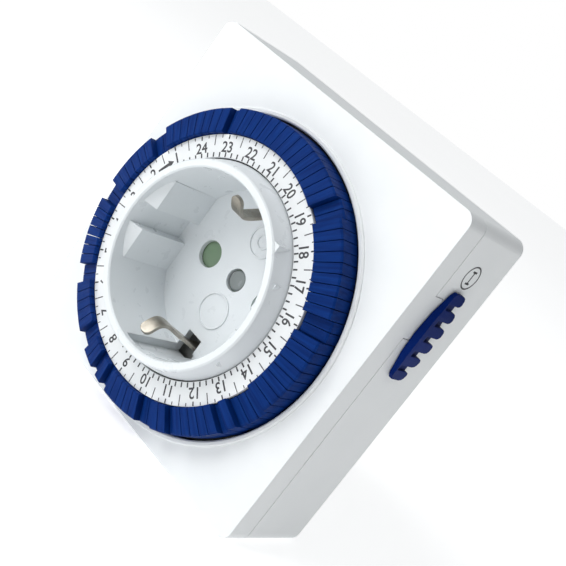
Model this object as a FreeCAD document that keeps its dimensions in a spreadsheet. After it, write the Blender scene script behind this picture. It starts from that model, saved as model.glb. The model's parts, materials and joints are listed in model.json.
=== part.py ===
import FreeCAD, Part
import Sketcher
import math
import os

# Plug-in 24-hour timer: a socket in front, a plug behind, and between them a dial of push-in
# segments that a small motor turns once a day past a switch lever.
# X is to the right, Y runs into the wall socket and Z is up, in millimetres.
# The socket's axis is the Y axis, and the front face of the case lies in the plane Y = 0.

document = FreeCAD.newDocument("plug_in_timer")
sheet = document.addObject("Spreadsheet::Sheet", "sizes")

CELLS = [
    ("case_left", -36.5, "left side of the case"),
    ("case_right", 39.5, "right side of the case, with the slider"),
    ("case_bottom", -36.0, "bottom of the case"),
    ("case_top", 42.0, "top of the case"),
    ("seam_front", 6.2, "depth of the front cover's skirt"),
    ("seam_back", 6.4, "front edge of the rear housing"),
    ("lip_front", 5.0, "front edge of the rear housing's inner lip"),
    ("lip_back", 8.4, "back edge of the lip's root"),
    ("lip_inset", 1.9, "outer face of the lip, in from the case's side"),
    ("lip_inner", 2.7, "inner face of the lip, in from the case's side"),
    ("back_depth", 25.0, "depth of the rear housing's back face"),
    ("case_wall", 1.8, "wall of both case shells"),
    ("back_wall", 2.0, "back plate of the rear housing"),
    ("boss_inset", 4.7, "axis of a screw boss, in from the case's sides"),
    ("cover_boss", 2.7, "radius of a screw boss on the front cover"),
    ("housing_boss", 2.8, "radius of a screw boss on the rear housing"),
    ("screw_thread", 1.25, "radius of a hole that a screw cuts its thread in"),
    ("screw_pass", 1.35, "radius of a hole that a screw passes through"),
    ("screw_sink", 2.35, "radius of the recess for a screw's head"),
    ("sink_depth", 3.5, "depth of that recess"),
    ("post_radius", 2.2, "radius of the posts that hold the base plate"),
    ("post_hole_end", 18.2, "depth of the thread holes in those posts"),
    ("case_round", 2.5, "radius of the case's upright corners"),
    ("back_round", 1.2, "radius of the case's back edge"),
    ("cover_opening", 33.8, "radius of the round opening for the dial"),
    ("bead_radius", 35.0, "outer radius of the bead round the opening"),
    ("bead_rise", 0.6, "height of the bead"),
    ("tongue_low", 15.8, "lower end of the cover's tongue"),
    ("tongue_high", 25.6, "upper end of the cover's tongue"),
    ("tongue_depth", 9.5, "how deep the tongue reaches"),
    ("cup_radius", 19.5, "radius of the socket recess"),
    ("cup_floor", 7.5, "depth of the socket floor"),
    ("cup_back", 9.5, "back of the socket floor"),
    ("cup_rim", 10.0, "height of the socket's rim above the case"),
    ("rim_radius", 21.3, "outer radius of the flat rim"),
    ("cone_radius", 22.45, "radius at the foot of the rim's cone"),
    ("cone_foot", 5.2, "height of the foot of the cone"),
    ("journal_radius", 21.9, "bearing surface that the dial turns on"),
    ("contact_hole", 3.0, "radius of a contact hole in the socket floor"),
    ("thin_radius", 14.2, "radius of the thinner middle of the socket floor"),
    ("thin_back", 8.6, "back of that thinner middle"),
    ("rivet_hole", 2.5, "radius of the hole in the middle of the floor"),
    ("rib_face", 16.7, "inner face of the guide ribs"),
    ("sleeve_radius", 3.3, "outer radius of a contact sleeve"),
    ("sleeve_end", 22.0, "back end of a contact sleeve"),
    ("rib_low", 2.6, "lower side of a guide rib"),
    ("rib_high", 9.7, "upper side of a guide rib"),
    ("rib_top", 6.5, "height of a rib's inner edge"),
    ("pin_pitch", 9.5, "distance of each line contact from the axis"),
    ("pin_radius", 2.4, "radius of a plug pin"),
    ("pin_reach", 19.0, "length of a plug pin"),
    ("pin_root", 2.6, "radius of a pin's root inside the plug"),
    ("pin_collar", 3.4, "radius of the collar that keeps a pin in the plug"),
    ("pin_round", 1.4, "rounding of a pin's tip"),
    ("plug_radius", 18.4, "radius of the plug's body"),
    ("plug_face", 42.5, "depth of the plug's face"),
    ("plug_hollow", 15.8, "radius of the hollow inside the plug"),
    ("plug_wall", 3.0, "thickness of the plug's face"),
    ("plug_flat", 16.9, "distance of the plug's flats from its axis"),
    ("flat_half", 12.0, "half the height of a flat"),
    ("flange_radius", 19.5, "radius of the plug's flange inside the case"),
    ("flange_back", 24.0, "back of that flange"),
    ("groove_floor", 17.2, "distance of the earth grooves' floors from the axis"),
    ("groove_half", 2.6, "half the width of an earth groove"),
    ("strip_half", 1.9, "half the width of an earth contact"),
    ("clip_half", 1.5, "half width of an earth contact's clip in the recess"),
    ("strip_thick", 0.8, "thickness of the metal strips"),
    ("scale_radius", 27.6, "outer radius of the printed scale"),
    ("scale_height", 5.4, "height of the printed scale"),
    ("carrier_front", 4.5, "height of the carrier's front face"),
    ("carrier_floor", 2.0, "depth of the carrier's floor"),
    ("carrier_back", 3.2, "back of the carrier's floor"),
    ("tappet_count", 96, "number of segments, one for each quarter of an hour"),
    ("tappet_inner", 27.75, "inner radius of a segment"),
    ("tappet_outer", 33.3, "outer radius of a segment"),
    ("tappet_top", 6.6, "height of a pulled-out segment's inner edge"),
    ("tappet_edge", 5.1, "height of a pulled-out segment's outer edge"),
    ("tappet_travel", 1.6, "how far a segment is pushed in"),
    ("tappet_gap", 0.28, "angle between two segments, degrees"),
    ("tappet_phase", 0.9, "angle of the first segment's first side, degrees"),
    ("carrier_edge", 33.5, "outer radius of the carrier's floor"),
    ("hub_radius", 24.0, "radius of the hub that the ring gear is pressed on"),
    ("hub_back", 8.2, "back end of that hub"),
    ("window_radius", 30.0, "distance of the segments' feet from the axis"),
    ("foot_length", 1.5, "length of a segment's foot along the radius"),
    ("foot_width", 1.0, "width of a segment's foot"),
    ("foot_back", 4.0, "back end of a pulled-out segment's foot"),
    ("gear_front", 6.2, "front of the ring gear"),
    ("gear_size", 0.5, "module of the gear train"),
    ("ring_teeth", 104, "teeth of the dial's ring gear"),
    ("wheel_teeth", 40, "teeth of the drive wheel"),
    ("pinion_teeth", 12, "teeth of the two pinions"),
    ("drive_angle", 108.0, "where the drive gear meets the ring gear, degrees"),
    ("axle_radius", 0.9, "radius of the drive gear's axle"),
    ("shaft_radius", 0.75, "radius of the rotor's shaft"),
    ("wheel_front", 9.8, "front of the drive wheel"),
    ("wheel_back", 10.8, "back of the drive wheel"),
    ("can_radius", 10.0, "outer radius of the motor can"),
    ("can_back", 22.6, "back of the motor can"),
    ("can_wall", 0.6, "wall of the motor can"),
    ("coil_front", 15.0, "front of the motor's coil and rotor"),
    ("coil_back", 21.0, "back of the motor's coil and rotor"),
    ("coil_radius", 9.3, "outer radius of the coil"),
    ("coil_hole", 5.6, "inner radius of the coil"),
    ("rotor_radius", 5.2, "radius of the rotor"),
    ("plate_front", 12.2, "front of the base plate"),
    ("plate_back", 13.4, "back of the base plate"),
    ("busbar_half", 2.0, "half the width of a brass strip"),
    ("strip_back", 30.4, "back of the strips behind the plug pins"),
    ("live_front", 18.0, "front of the live strip"),
    ("contact_x", 34.2, "face of the fixed contact across"),
    ("blade_thick", 0.2, "thickness of the switch blade"),
    ("slider_low", 7.5, "lower end of the slider"),
    ("slider_high", 27.9, "upper end of the slider"),
    ("slider_gap", 0.2, "gap between the slider and the case"),
    ("slider_base", 0.5, "thickness of the slider between its bars"),
    ("slider_front", 10.1, "front edge of the slider at its ends"),
    ("slider_bulge", 8.1, "front edge of the slider in its middle"),
    ("slider_spine", 9.9, "back edge of the slider's spine"),
    ("slider_back", 13.7, "back edge of the slider between its bars"),
    ("slider_edge", 0.8, "how far the slider stands out at its ends"),
    ("slider_rise", 1.7, "how far the slider stands out in its middle"),
    ("slider_bars", 6, "number of the slider's cross bars"),
    ("bar_half", 1.15, "half the height of a cross bar"),
    ("slot_depth", 13.0, "depth of the slider's slot in the case"),
    ("stem_low", 16.0, "lower side of the slider's stem"),
    ("stem_high", 21.0, "upper side of the slider's stem"),
    ("slider_travel", 5.0, "travel of the slider"),
    ("lever_x", 32.0, "pivot of the switch lever across"),
    ("lever_y", 9.6, "pivot of the switch lever in depth"),
    ("lever_pin", 0.8, "radius of the lever's pin"),
    ("lever_low", 19.6, "lower side of the lever"),
    ("lever_high", 22.8, "upper side of the lever"),
    ("ear_low", 17.6, "lower side of the lower ear that holds the lever's pin"),
    ("ear_high", 25.2, "upper side of the upper ear"),
    ("ear_thick", 1.4, "thickness of an ear"),
    ("screw_radius", 1.2, "radius of a screw"),
    ("case_head", 2.2, "radius of a case screw's head"),
    ("plate_head", 2.0, "radius of a base plate screw's head"),
]


class Size:
    """A number together with the sheet formula that gives it."""

    def __init__(self, value, text):
        self.value = value
        self.text = text

    def joined(self, other, sign, swap=False):
        """Return this size and another joined by an arithmetic sign."""
        other = other if isinstance(other, Size) else Size(other, f"{other:g}")
        left, right = (other, self) if swap else (self, other)
        values = {
            "+": left.value + right.value,
            "-": left.value - right.value,
            "*": left.value * right.value,
        }
        return Size(values[sign], f"({left.text} {sign} {right.text})")

    def __add__(self, other):
        return self.joined(other, "+")

    def __radd__(self, other):
        return self.joined(other, "+", swap=True)

    def __sub__(self, other):
        return self.joined(other, "-")

    def __rsub__(self, other):
        return self.joined(other, "-", swap=True)

    def __mul__(self, other):
        return self.joined(other, "*")

    def __rmul__(self, other):
        return self.joined(other, "*", swap=True)

    def __neg__(self):
        return self.joined(-1, "*")


size = {}
for row, (alias, number, note) in enumerate(CELLS, start=1):
    sheet.set(f"A{row}", alias)
    sheet.set(f"B{row}", str(number))
    sheet.set(f"C{row}", note)
    sheet.setAlias(f"B{row}", alias)
    size[alias] = Size(number, f"sizes.{alias}")
document.recompute()


# ---------------------------------------------------------------- helpers

parts = []


def value_of(number):
    """Return the plain number of a size or of a number."""
    return number.value if isinstance(number, Size) else number


def bind(thing, path, number):
    """Set a property to a plain number, or bind it to the sheet."""
    if isinstance(number, Size):
        thing.setExpression(path, number.text)
    else:
        thing.setExpression(path, f"{number:g}")


def new_body(name):
    """Start a PartDesign body that becomes the sub-part of that name."""
    body = document.addObject("PartDesign::Body", name)
    body.Label = name
    parts.append(body)
    return body


def sketch_on(body, role, level, loops):
    """Draw closed loops on one of a body's own origin planes, moved along its normal.

    A loop is a list of corner points, or a tuple (across, up, radius) for a circle."""
    sketch = body.newObject("Sketcher::SketchObject", f"{body.Name}_outline")
    plane = next(item for item in body.Origin.OriginFeatures if item.Role == role)
    sketch.AttachmentSupport = (plane, [""])
    sketch.MapMode = "FlatFace"
    bind(sketch, "AttachmentOffset.Base.z", level)
    for loop in loops:
        if isinstance(loop, tuple):
            draw_circle(sketch, *loop)
        else:
            draw_polygon(sketch, loop)
    return sketch


def pin_point(sketch, line, point, across, up):
    """Hold one point of a sketch at its distances from the origin."""
    for kind, number in (("DistanceX", across), ("DistanceY", up)):
        index = sketch.addConstraint(
            Sketcher.Constraint(kind, -1, 1, line, point, value_of(number))
        )
        if isinstance(number, Size):
            sketch.setExpression(f"Constraints[{index}]", number.text)


def draw_circle(sketch, across, up, radius):
    """Add a circle whose centre and radius are bound."""
    centre = FreeCAD.Vector(value_of(across), value_of(up), 0)
    circle = sketch.addGeometry(Part.Circle(centre, FreeCAD.Vector(0, 0, 1), value_of(radius)))
    index = sketch.addConstraint(Sketcher.Constraint("Radius", circle, value_of(radius)))
    if isinstance(radius, Size):
        sketch.setExpression(f"Constraints[{index}]", radius.text)
    pin_point(sketch, circle, 3, across, up)


def draw_polygon(sketch, points):
    """Add a closed outline of straight lines through bound corner points."""
    corners = [FreeCAD.Vector(value_of(a), value_of(b), 0) for a, b in points]
    first = sketch.GeometryCount
    count = len(points)
    for here in range(count):
        sketch.addGeometry(Part.LineSegment(corners[here], corners[(here + 1) % count]))
    for here in range(count):
        after = first + (here + 1) % count
        sketch.addConstraint(Sketcher.Constraint("Coincident", first + here, 2, after, 1))
    for here, (across, up) in enumerate(points):
        pin_point(sketch, first + here, 1, across, up)


def extrude(body, role, start, end, loops, cut=False):
    """Pad or pocket loops from one level to another along a plane's own axis."""
    sign = -1 if role == "XZ_Plane" else 1
    sketch = sketch_on(body, role, start * sign, loops)
    feature = body.newObject("PartDesign::Pocket" if cut else "PartDesign::Pad", f"{body.Name}_step")
    feature.Profile = sketch
    bind(feature, "Length", end - start)
    feature.Reversed = (sign < 0) != cut
    document.recompute()
    return feature


def along_depth(body, start, end, loops, cut=False):
    """Pad or pocket front-view loops between two depths."""
    return extrude(body, "XZ_Plane", start, end, loops, cut)


def across_width(body, start, end, loops, cut=False):
    """Pad or pocket side-view loops between two positions across."""
    return extrude(body, "YZ_Plane", start, end, loops, cut)


def up_height(body, start, end, loops, cut=False):
    """Pad or pocket plan-view loops between two heights."""
    return extrude(body, "XY_Plane", start, end, loops, cut)


def turn(body, points, cut=False):
    """Turn a half profile of (radius, depth) points round the socket's axis."""
    sketch = sketch_on(body, "XY_Plane", 0, [points])
    kind = "PartDesign::Groove" if cut else "PartDesign::Revolution"
    feature = body.newObject(kind, f"{body.Name}_turned")
    feature.Profile = sketch
    feature.ReferenceAxis = (sketch, ["V_Axis"])
    feature.Angle = 360
    document.recompute()
    return feature


def rectangle(low_a, low_b, high_a, high_b):
    """Return the four corners of an upright rectangle."""
    return [(low_a, low_b), (high_a, low_b), (high_a, high_b), (low_a, high_b)]


def round_edges(body, radius, wanted):
    """Fillet the edges of a body's last feature that a test picks out."""
    base = body.Tip
    names = [f"Edge{i}" for i, edge in enumerate(base.Shape.Edges, start=1) if wanted(edge)]
    fillet = body.newObject("PartDesign::Fillet", f"{body.Name}_round")
    fillet.Base = (base, names)
    bind(fillet, "Radius", radius)
    document.recompute()
    return fillet


def feature_part(name, shape):
    """Add a sub-part whose shape is built from the sheet's sizes."""
    item = document.addObject("Part::Feature", name)
    item.Label = name
    item.Shape = shape
    item.Placement = shape.Placement
    parts.append(item)
    return item


def rod(radius, start, end, across=0.0, up=0.0):
    """Return a plain cylinder along the depth."""
    base = FreeCAD.Vector(across, start, up)
    return Part.makeCylinder(radius, end - start, base, FreeCAD.Vector(0, 1, 0))


def turned_by(shape, degrees):
    """Return a copy of a shape turned about the socket's axis, from +X towards +Z."""
    copy = shape.copy()
    copy.rotate(FreeCAD.Vector(0, 0, 0), FreeCAD.Vector(0, 1, 0), -degrees)
    return copy


def is_along_depth(edge):
    """Tell whether a straight edge runs in Y."""
    if edge.Curve.TypeId != "Part::GeomLine":
        return False
    return abs(edge.tangentAt(edge.FirstParameter).y) > 0.999


# ---------------------------------------------------------------- case

def inset_outline(inset):
    """Return the case's front outline, moved in from all four sides."""
    return rectangle(
        size["case_left"] + inset, size["case_bottom"] + inset,
        size["case_right"] - inset, size["case_top"] - inset,
    )


PLATE_POSTS = [(-29, -22), (31, -24), (-30.5, 8), (14, 36)]
BOSS_PLACES = [
    (across, up)
    for across in (size["case_left"] + size["boss_inset"], size["case_right"] - size["boss_inset"])
    for up in (size["case_bottom"] + size["boss_inset"], size["case_top"] - size["boss_inset"])
]


def at_bosses(radius):
    """Return a circle of a radius at each of the four screw bosses."""
    return [(across, up, radius) for across, up in BOSS_PLACES]


def at_posts(radius):
    """Return a circle of a radius at each of the four base plate posts."""
    return [(across, up, radius) for across, up in PLATE_POSTS]


def front_cover():
    """Shallow front shell with the round opening, its bead and the tongue on the right."""
    body = new_body("front_cover")
    wall = size["case_wall"]
    skirt = size["seam_front"]
    along_depth(body, 0, skirt, [inset_outline(0)])
    round_edges(body, size["case_round"], is_along_depth)
    along_depth(body, wall, skirt, [inset_outline(wall)], cut=True)
    along_depth(body, 0, wall, [(0, 0, size["cover_opening"])], cut=True)
    low = size["cover_opening"]
    high = size["bead_radius"]
    crest = -size["bead_rise"]
    foot = 0.4
    soft = 0.3
    turn(body, [
        (low, foot), (low, crest + soft), (low + soft, crest),
        (high - soft, crest), (high, crest + soft), (high, foot),
    ])
    tongue = rectangle(
        size["case_right"] - wall, size["tongue_low"], size["case_right"], size["tongue_high"]
    )
    along_depth(body, skirt - 1, size["tongue_depth"], [tongue])
    bossed = size["plate_front"]
    along_depth(body, wall - 0.5, bossed, at_bosses(size["cover_boss"]))
    along_depth(body, wall + 1, bossed, at_bosses(size["screw_thread"]), cut=True)
    return body


def rear_housing():
    """Deep rear shell with an inner lip, screw bosses, the plug's hole and the slider's slot."""
    body = new_body("rear_housing")
    front = size["seam_back"]
    back = size["back_depth"]
    inside_back = back - size["back_wall"]
    along_depth(body, front, back, [inset_outline(0)])
    round_edges(body, size["case_round"], is_along_depth)
    round_edges(body, size["back_round"], lambda edge: edge.BoundBox.YMin > back.value - 0.01)
    along_depth(body, front, inside_back, [inset_outline(size["case_wall"])], cut=True)
    inner = inset_outline(size["lip_inner"])
    along_depth(body, front, size["lip_back"], [inset_outline(size["case_wall"] - 0.1), inner])
    along_depth(body, size["lip_front"], front, [inset_outline(size["lip_inset"]), inner])
    room = at_bosses(size["cover_boss"] + 0.15)
    along_depth(body, size["lip_front"] - 0.1, size["lip_back"] + 0.1, room, cut=True)
    along_depth(body, inside_back - 1, back + 1, [(0, 0, size["plug_radius"] + 0.05)], cut=True)
    seat = [(0, 0, size["flange_radius"] + 0.1)]
    along_depth(body, inside_back - 1, size["flange_back"], seat, cut=True)
    along_depth(body, size["plate_front"], back - 0.5, at_bosses(size["housing_boss"]))
    along_depth(body, size["plate_front"], back, at_bosses(size["screw_pass"]), cut=True)
    along_depth(body, back - size["sink_depth"], back, at_bosses(size["screw_sink"]), cut=True)
    plate = size["plate_back"]
    along_depth(body, plate, inside_back + 0.5, at_posts(size["post_radius"]))
    along_depth(body, plate, size["post_hole_end"], at_posts(size["screw_thread"]), cut=True)
    depth = size["slot_depth"]
    lowest = size["stem_low"] - size["slider_travel"] - 0.2
    slot = rectangle(depth - 1.1, lowest, depth + 1.1, size["stem_high"] + 0.2)
    outside = size["case_right"]
    across_width(body, outside - 3, outside + 1, [slot], cut=True)
    around = 0.15
    notch = rectangle(
        size["lip_front"] - 0.1, size["tongue_low"] - around,
        size["tongue_depth"] + around, size["tongue_high"] + around,
    )
    across_width(body, outside - 3, outside + 1, [notch], cut=True)
    return body


# ---------------------------------------------------------------- socket

DIAGONAL = math.sqrt(0.5)


def socket_cup():
    """Fixed cup in the middle: raised rim, recess with guide ribs, contact holes and clip slots."""
    body = new_body("socket_cup")
    radius = size["cup_radius"]
    floor = size["cup_floor"]
    back = size["cup_back"]
    rim = -size["cup_rim"]
    journal = size["journal_radius"]
    cone = size["cone_radius"]
    foot = -size["cone_foot"]
    soft = 0.3
    draft = 0.2
    turn(body, [
        (0, floor), (radius - draft, floor), (radius, rim + soft), (radius + soft, rim),
        (size["rim_radius"] - soft, rim), (size["rim_radius"], rim + soft), (cone, foot),
        (cone, foot + 0.5), (journal, foot + 0.7), (journal, back), (0, back),
    ])
    face = size["rib_face"]
    sunk = floor + 0.5
    for side in (1, -1):
        slope = [
            (side * face, sunk), (side * face, -size["rib_top"]),
            (side * (radius + soft), -(size["rib_top"] + 2.2)), (side * (radius + soft), sunk),
        ]
        up_height(body, size["rib_low"], size["rib_high"], [slope])
        up_height(body, -size["rib_high"], -size["rib_low"], [slope])
    raised = floor - 0.25
    for height, ring_radius in ((-8.2, 4.0), (10.0, 3.6), (10.0, 1.7)):
        ring = [(0, height, ring_radius), (0, height, ring_radius - 0.35)]
        along_depth(body, raised, sunk, ring)
    pitch = size["pin_pitch"]
    behind = back + 1
    hole = size["contact_hole"]
    holes = [(pitch, 0, hole), (-pitch, 0, hole), (0, 0, size["rivet_hole"])]
    along_depth(body, floor - 1, behind, holes, cut=True)
    along_depth(body, size["thin_back"], behind, [(0, 0, size["thin_radius"])], cut=True)
    slot_half = size["strip_half"] + 0.3
    near = 14.9
    far = 19.3
    slots = [rectangle(-slot_half, near, slot_half, far), rectangle(-slot_half, -far, slot_half, -near)]
    along_depth(body, floor - 1, behind, slots, cut=True)
    pocket_half = size["strip_half"] + 0.8
    pocket_end = size["journal_radius"] - 1
    pockets = [
        rectangle(-pocket_half, 18.3, pocket_half, pocket_end),
        rectangle(-pocket_half, -pocket_end, pocket_half, -18.3),
    ]
    along_depth(body, rim + 1.6, behind, pockets, cut=True)
    along_depth(body, rim + 0.4, foot + 0.2, [pointer_outline()])
    reach = 17 * DIAGONAL
    posts = [(reach * a, reach * u, 1.6) for a in (1, -1) for u in (1, -1)]
    along_depth(body, back - 0.5, size["plate_front"], posts)
    return body


def pointer_outline():
    """Return the triangle on the rim's cone that points to the time of day."""
    tip = size["cone_radius"] - 0.1
    root = size["cone_radius"] - 1.7
    half = 1.7
    return [
        (DIAGONAL * tip, DIAGONAL * tip),
        (DIAGONAL * root - DIAGONAL * half, DIAGONAL * root + DIAGONAL * half),
        (DIAGONAL * root + DIAGONAL * half, DIAGONAL * root - DIAGONAL * half),
    ]


def contact_sleeve(name, side):
    """Slotted brass sleeve that grips a plug pin behind the socket floor."""
    body = new_body(name)
    pitch = side * size["pin_pitch"]
    front = size["cup_back"] + 1.5
    end = size["sleeve_end"]
    outer = size["sleeve_radius"]
    along_depth(body, front, end, [(pitch, 0, outer), (pitch, 0, outer - size["strip_thick"])])
    along_depth(body, end - size["strip_thick"], end, [(pitch, 0, outer)])
    slit = rectangle(pitch - 0.4, -4, pitch + 0.4, 4)
    along_depth(body, front, end - 5, [slit], cut=True)
    return body


CLIP_PATH = [
    (8.6, 17.45), (5.4, 16.5), (0.0, 14.9), (-3.6, 13.8), (-5.2, 13.85), (-6.5, 14.8), (-8.0, 16.8),
]


def spline_through(points):
    """Return a smooth edge through (depth, height) points."""
    curve = Part.BSplineCurve()
    curve.interpolate([FreeCAD.Vector(0, depth, height) for depth, height in points])
    return curve.toShape()


def earth_contact(name, side):
    """Spring strip: clip in the socket at the front, plug's side contact at the back."""
    thick = size["strip_thick"].value
    half = size["strip_half"].value
    plug_end = size["plug_face"].value - 1
    run = size["groove_floor"].value + 0.3
    path = [(11.0, run + 0.1)] + CLIP_PATH
    inner = []
    outer = []
    for index, (depth, height) in enumerate(path):
        before = path[max(index - 1, 0)]
        after = path[min(index + 1, len(path) - 1)]
        ahead = FreeCAD.Vector(0, after[0] - before[0], after[1] - before[1]).normalize()
        inner.append((depth - ahead.z * thick / 2, height + ahead.y * thick / 2))
        outer.append((depth + ahead.z * thick / 2, height - ahead.y * thick / 2))
    tail = [
        inner[0], (plug_end - 2, run + 0.2), (plug_end, run - 0.1), (plug_end, run + 0.5),
        (plug_end - 2, run + 0.9), outer[0],
    ]
    corners = [FreeCAD.Vector(0, depth, height) for depth, height in tail]
    edges = [spline_through(inner), spline_through(outer)]
    edges += [Part.makeLine(here, after) for here, after in zip(corners, corners[1:])]
    edges.append(Part.makeLine(*[FreeCAD.Vector(0, *line[-1]) for line in (inner, outer)]))
    section = Part.Face(Part.Wire(Part.__sortEdges__(edges)))
    strip = section.extrude(FreeCAD.Vector(2 * half, 0, 0))
    strip.translate(FreeCAD.Vector(-half, 0, 0))
    clip = size["clip_half"].value
    outline = [
        (-half, plug_end + 1), (-half, 10), (-clip, 6.5), (-clip, -12),
        (clip, -12), (clip, 6.5), (half, 10), (half, plug_end + 1),
    ]
    corners = [FreeCAD.Vector(across, depth, 0) for across, depth in outline + outline[:1]]
    cutter = Part.Face(Part.makePolygon(corners)).extrude(FreeCAD.Vector(0, 0, 40))
    strip = strip.common(cutter)
    tip = [edge for edge in strip.Edges if edge.BoundBox.YMax < -7.4 and edge.BoundBox.XLength < 0.01]
    strip = strip.makeFillet(clip - 0.2, tip)
    if side < 0:
        strip = strip.mirror(FreeCAD.Vector(0, 0, 0), FreeCAD.Vector(0, 0, 1))
    return feature_part(name, strip)


def earth_bridge():
    """Strip that joins the two earth contacts behind the base plate."""
    body = new_body("earth_bridge")
    front = size["plate_back"] + 1.2
    half = size["strip_half"]
    reach = size["groove_floor"]
    along_depth(body, front, front + size["strip_thick"], [rectangle(-half, -reach, half, reach)])
    return body


def shutter():
    """Turning plate that closes both contact holes until a plug turns it aside."""
    body = new_body("shutter")
    front = size["thin_back"] + 0.2
    tip = size["pin_pitch"] + 3.6
    blade = [(-tip, -3.2), (-3, -4), (3, -4), (tip, -3.2), (tip, 3.2), (3, 4), (-3, 4), (-tip, 3.2)]
    along_depth(body, front, front + 0.9, [blade])
    pitch = size["pin_pitch"]
    disc = size["contact_hole"] - 0.35
    along_depth(body, front - 0.12, front, [(pitch, 0, disc), (-pitch, 0, disc)])
    along_depth(body, front - 1, front + 0.9, [(0, 0, 1.55)], cut=True)
    return body


def shutter_rivet():
    """Headed pin that the shutter turns on, seen through the hole in the socket floor."""
    body = new_body("shutter_rivet")
    front = size["cup_floor"] + 0.4
    head = size["thin_back"] + 0.1
    turn(body, [(0, front), (1.9, front), (2.25, front + 0.3), (2.25, head), (1.5, head),
                (1.5, size["plate_back"]), (0, size["plate_back"])])
    return body


def coil_spring(name, radius, wire, start, turns, pitch):
    """Close coil of round wire round the socket's axis."""
    helix = Part.makeHelix(pitch, pitch * turns, radius)
    section = Part.Wire(Part.makeCircle(wire, FreeCAD.Vector(radius, 0, 0), FreeCAD.Vector(0, 1, 0)))
    coil = Part.Wire(helix).makePipeShell([section], True, True)
    coil.rotate(FreeCAD.Vector(0, 0, 0), FreeCAD.Vector(1, 0, 0), -90)
    coil.translate(FreeCAD.Vector(0, start, 0))
    return feature_part(name, coil)


# ---------------------------------------------------------------- plug

def plug_body():
    """Hollow round plug with two flats and two earth grooves, held in the back by its flange."""
    body = new_body("plug_body")
    start = size["back_depth"] - size["back_wall"]
    face = size["plug_face"]
    radius = size["plug_radius"]
    along_depth(body, start, face, [(0, 0, radius)])
    along_depth(body, start, size["flange_back"], [(0, 0, size["flange_radius"])])
    round_edges(body, 0.8, lambda edge: edge.BoundBox.YMin > face.value - 0.01)
    hollow = [(0, 0, size["plug_hollow"])]
    along_depth(body, start - 1, face - size["plug_wall"], hollow, cut=True)
    flat = size["plug_flat"]
    half = size["flat_half"]
    beyond = radius + 2
    sides = [rectangle(flat, -half, beyond, half), rectangle(-beyond, -half, -flat, half)]
    along_depth(body, size["back_depth"] + 0.5, face + 1, sides, cut=True)
    low = size["groove_floor"]
    wide = size["groove_half"]
    grooves = [rectangle(-wide, low, wide, beyond), rectangle(-wide, -beyond, wide, -low)]
    along_depth(body, start - 1, face + 1, grooves, cut=True)
    pitch = size["pin_pitch"]
    holes = [(pitch, 0, size["pin_root"]), (-pitch, 0, size["pin_root"])]
    along_depth(body, face - size["plug_wall"] - 1, face + 1, holes, cut=True)
    return body


def plug_pin(name, side):
    """Plug pin with a rounded tip, a thicker root in the plug's face and a collar behind it."""
    body = new_body(name)
    pitch = side * size["pin_pitch"]
    face = size["plug_face"]
    tip = face + size["pin_reach"]
    along_depth(body, size["strip_back"], face, [(pitch, 0, size["pin_root"])])
    along_depth(body, face - 1, tip, [(pitch, 0, size["pin_radius"])])
    inside = face - size["plug_wall"]
    along_depth(body, inside - 3, inside, [(pitch, 0, size["pin_collar"])])
    round_edges(body, size["pin_round"], lambda edge: edge.BoundBox.YMin > tip.value - 0.01)
    return body


def folded_strip(body, corners):
    """Pad a folded strip of (across, depth) corners over its width."""
    half = size["busbar_half"]
    up_height(body, -half, half, [corners])


def neutral_busbar():
    """Folded brass strip from the left sleeve back to the left plug pin."""
    body = new_body("neutral_busbar")
    thick = size["strip_thick"]
    front = size["sleeve_end"]
    back = size["strip_back"]
    outside = -12
    inside = -4.2
    folded_strip(body, [
        (outside, front), (inside, front), (inside, back), (outside, back),
        (outside, back - thick), (inside - thick, back - thick),
        (inside - thick, front + thick), (outside, front + thick),
    ])
    return body


def live_busbar():
    """Folded brass strip from the right plug pin to the fixed contact of the switch."""
    body = new_body("live_busbar")
    thick = size["strip_thick"]
    front = size["live_front"]
    back = size["strip_back"]
    inside = 7
    fold = 14.2
    end = 36
    folded_strip(body, [
        (inside, back - thick), (fold, back - thick), (fold, front), (end, front),
        (end, front + thick), (fold + thick, front + thick), (fold + thick, back), (inside, back),
    ])
    riser = rectangle(size["contact_x"] + 0.4, -size["busbar_half"], end, 27)
    along_depth(body, front, front + thick, [riser])
    return body


def load_busbar():
    """Flat brass strip from the right sleeve to the foot of the switch blade."""
    body = new_body("load_busbar")
    front = size["sleeve_end"]
    strip = [(7.5, -2), (11.5, -2), (11.5, 11), (31, 11), (31, 15), (7.5, 15)]
    along_depth(body, front, front + size["strip_thick"], [strip])
    return body


# ---------------------------------------------------------------- dial

def scale_disc():
    """White ring that carries the hours and quarters."""
    body = new_body("scale_disc")
    inner = size["cone_radius"] + 0.3
    front = -size["scale_height"]
    turn(body, [(inner, front), (size["scale_radius"], front),
                (size["scale_radius"], -size["carrier_front"]), (inner, -size["carrier_front"])])
    return body


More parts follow.
